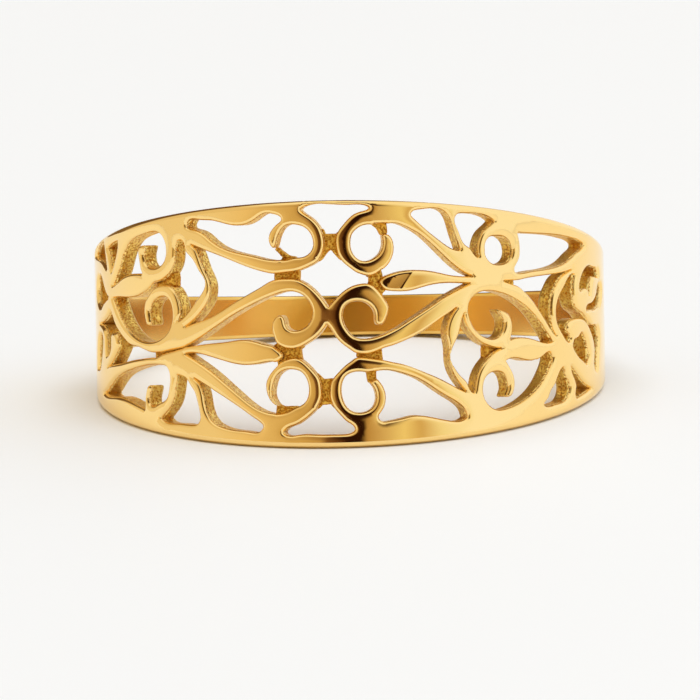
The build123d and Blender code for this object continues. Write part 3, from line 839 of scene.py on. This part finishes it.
class RING_OT_band(bpy.types.Operator):
    """Builds the pierced band and the shank in one piece, with rounded rims and openings"""
    bl_idname = "ring.band"
    bl_label = "Pierced Band"

    def execute(self, context):
        sizes, colours = context.scene.ring_sizes, context.scene.ring_colours
        ring = RingFrame(sizes)
        openings, _, rims = ring_edges(ring, sizes)
        crease = tip_crease(ring)
        skin = Skin(openings, rims, (sizes.hole_round / MM, sizes.rim_round / MM), sizes.outline_step / MM,
                    sizes.face_step / MM, reach=math.pi * ring.outer, extra=crease_rows(crease))
        band = wrapped("band", skin, ring, inner_round=sizes.inner_round / MM,
                       dome=(sizes.dome_drop / MM, sizes.dome_reach / MM), crease=crease)
        finished(band, gold_material("gold", colours, colours.cast_gold, CAST))
        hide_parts("ring")
        return {"FINISHED"}


class RING_OT_tie_bars(bpy.types.Operator):
    """Builds the short cast bars that tie the scrolls together a little below the face"""
    bl_idname = "ring.tie_bars"
    bl_label = "Tie Bars"

    def execute(self, context):
        sizes, colours = context.scene.ring_sizes, context.scene.ring_colours
        ring = RingFrame(sizes)
        _, bars, _ = ring_edges(ring, sizes)
        grown = []
        for line in bars:
            way = tangents(line, True)
            grown.append(line + np.stack([way[:, 1], -way[:, 0]], 1) * BAR_GROWTH)
        skin = Skin(grown, [], (BAR_ROUND, BAR_ROUND), BAR_STEP, BAR_FACE_STEP)
        piece = wrapped("tie_bars", skin, ring, recess=sizes.bar_recess / MM, lift=BAR_LIFT,
                        uneven=BAR_UNEVEN)
        finished(piece, gold_material("tie bar gold", colours, colours.bar_gold, CAST_BAR))
        return {"FINISHED"}


# Studio

# What the metal mirrors: angle from the ring's front round to its right in degrees, colour near the horizon,
# colour higher up
SURROUNDINGS = (
    (-180, (0.90, 0.88, 0.80), (0.20, 0.12, 0.05)),
    (-174, (0.60, 0.50, 0.40), (0.16, 0.09, 0.04)),
    (-170, (0.20, 0.12, 0.05), (0.16, 0.09, 0.04)),
    (-128, (0.22, 0.14, 0.06), (0.16, 0.09, 0.04)),
    (-118, (0.84, 0.76, 0.62), (0.78, 0.68, 0.50)),
    (-60, (0.86, 0.78, 0.62), (0.80, 0.70, 0.50)),
    (-44, (0.84, 0.70, 0.46), (0.75, 0.60, 0.38)),
    (-20, (0.64, 0.48, 0.24), (0.55, 0.40, 0.20)),
    (-10, (0.54, 0.38, 0.18), (0.40, 0.26, 0.12)),
    (-7, (0.20, 0.10, 0.04), (0.16, 0.08, 0.03)),
    (0, (0.09, 0.035, 0.012), (0.03, 0.01, 0.004)),
    (2, (0.025, 0.008, 0.003), (0.02, 0.006, 0.003)),
    (9, (0.025, 0.008, 0.003), (0.02, 0.006, 0.003)),
    (11, (0.50, 0.33, 0.14), (0.03, 0.01, 0.004)),
    (19, (0.66, 0.52, 0.30), (0.08, 0.04, 0.02)),
    (28, (0.86, 0.78, 0.48), (0.80, 0.70, 0.45)),
    (36, (0.66, 0.50, 0.26), (0.90, 0.90, 0.80)),
    (46, (0.90, 0.90, 0.75), (1.0, 1.0, 1.0)),
    (60, (1.0, 1.05, 1.15), (1.0, 1.05, 1.15)),
    (150, (1.0, 1.05, 1.15), (1.0, 1.05, 1.15)),
    (168, (1.0, 1.0, 1.0), (0.80, 0.75, 0.65)),
    (180, (0.90, 0.88, 0.80), (0.20, 0.12, 0.05)))
HIGHER_UP = (0.215, 0.28)               # sine of the height between the two colours
ROOF = (0.80, 0.92)                     # and between the higher one and the roof
ROOF_COLOUR = (1.0, 1.0, 0.95, 1)
VIEW_DISTANCE = 350.0                   # of the camera from the ring's middle, in millimetres
PIXELS_PER_MM, PHOTO_SIZE = 27.137, 700
RING_ROW = 319.3                        # row of the photo that the ring's middle is on
SENSOR = 36


class RING_OT_studio(bpy.types.Operator):
    """Sets up the pale floor, the soft light and the camera"""
    bl_idname = "ring.studio"
    bl_label = "Studio"

    def execute(self, context):
        ring = RingFrame(context.scene.ring_sizes)
        floor_colour = context.scene.ring_colours.floor
        bpy.ops.object.select_all(action="DESELECT")
        bpy.ops.mesh.primitive_plane_add(size=3)
        floor = bpy.context.active_object
        floor.name = "floor"
        floor.data.materials.append(plain_material("pale floor", floor_colour, roughness=0.6))
        ring_camera(ring)
        studio_world()
        soft_light("overhead", place=(0, -0.05, 0.9), size=0.8, power=4.0)
        context.scene.view_settings.view_transform = "Standard"
        return {"FINISHED"}


def studio_world():
    """Surroundings of the ring: white to its right, warmer to its left, and dark where the camera stands"""
    world = bpy.data.worlds.new("studio")
    bpy.context.scene.world = world
    world.use_nodes = True
    tree = Tree(world.node_tree)
    direction = tree.node("ShaderNodeTexCoord")
    x, y, z = (tree.node("ShaderNodeSeparateXYZ", {}, {0: direction}, axis) for axis in range(3))
    turn = tree.node("ShaderNodeMath", {"operation": "ARCTAN2"}, {0: x, 1: 0 - y}) / math.tau + 0.5
    level, overhead = (tree.ramp(turn, [(row[0] / 360 + 0.5, row[part]) for row in SURROUNDINGS])
                       for part in (1, 2))
    sides = tree.mixed(tree.rise(z, *HIGHER_UP), level, overhead)
    colour = tree.mixed(tree.rise(z, *ROOF), sides, ROOF_COLOUR)
    light = tree.node("ShaderNodeBackground", {}, {"Color": colour, "Strength": 1.0})
    tree.node("ShaderNodeOutputWorld", {}, {"Surface": light})


def soft_light(name, place, size, power):
    """Large soft lamp that points straight down and isn't mirrored in the metal"""
    bpy.ops.object.light_add(type="AREA", location=place)
    lamp = bpy.context.active_object
    lamp.name = name
    lamp.data.size = size
    lamp.data.energy = power
    lamp.visible_glossy = False


def ring_camera(ring):
    """Camera where the photo was taken from, a little to the right of the ring's front"""
    azimuth, elevation, roll = math.radians(4.3), math.radians(1.0), math.radians(-1.0)
    right = Vector((math.cos(azimuth), math.sin(azimuth), 0))
    back = Vector((math.sin(azimuth) * math.cos(elevation), -math.cos(azimuth) * math.cos(elevation),
                   math.sin(elevation)))
    up = back.cross(right)
    image_right = right * math.cos(roll) + up * math.sin(roll)
    image_up = up * math.cos(roll) - right * math.sin(roll)
    turn = Matrix((image_right, image_up, back)).transposed().to_4x4()
    bpy.ops.object.camera_add()
    camera = bpy.context.active_object
    camera.matrix_world = ring.rest @ Matrix.Translation(back * VIEW_DISTANCE * MM) @ turn
    camera.data.sensor_width = SENSOR
    camera.data.lens = PIXELS_PER_MM * VIEW_DISTANCE * SENSOR / PHOTO_SIZE
    camera.data.shift_y = (RING_ROW - PHOTO_SIZE / 2) / PHOTO_SIZE
    camera.data.clip_start = 0.01
    bpy.context.scene.camera = camera


# Panel and registration

class RING_PT_panel(bpy.types.Panel):
    """Lists the ring's sizes, colours and pieces"""
    bl_label = "Openwork Ring"
    bl_idname = "RING_PT_panel"
    bl_space_type = "VIEW_3D"
    bl_region_type = "UI"
    bl_category = "Ring"

    def draw(self, context):
        for group in (context.scene.ring_sizes, context.scene.ring_colours):
            box = self.layout.box()
            for name in group.__annotations__:
                box.prop(group, name)
        for operator in PIECES + STAGE:
            self.layout.operator(operator.bl_idname)


PIECES = (RING_OT_band, RING_OT_tie_bars)
STAGE = (RING_OT_studio,)
CLASSES = (RingSizes, RingColours) + PIECES + STAGE + (RING_PT_panel,)


def register():
    for group in CLASSES:
        bpy.utils.register_class(group)
    bpy.types.Scene.ring_sizes = bpy.props.PointerProperty(type=RingSizes)
    bpy.types.Scene.ring_colours = bpy.props.PointerProperty(type=RingColours)


def unregister():
    del bpy.types.Scene.ring_sizes
    del bpy.types.Scene.ring_colours
    for group in reversed(CLASSES):
        bpy.utils.unregister_class(group)


def main():
    register()
    bpy.ops.ring.band()
    bpy.ops.ring.tie_bars()
    bpy.ops.ring.studio()


if __name__ == "__main__":
    main()
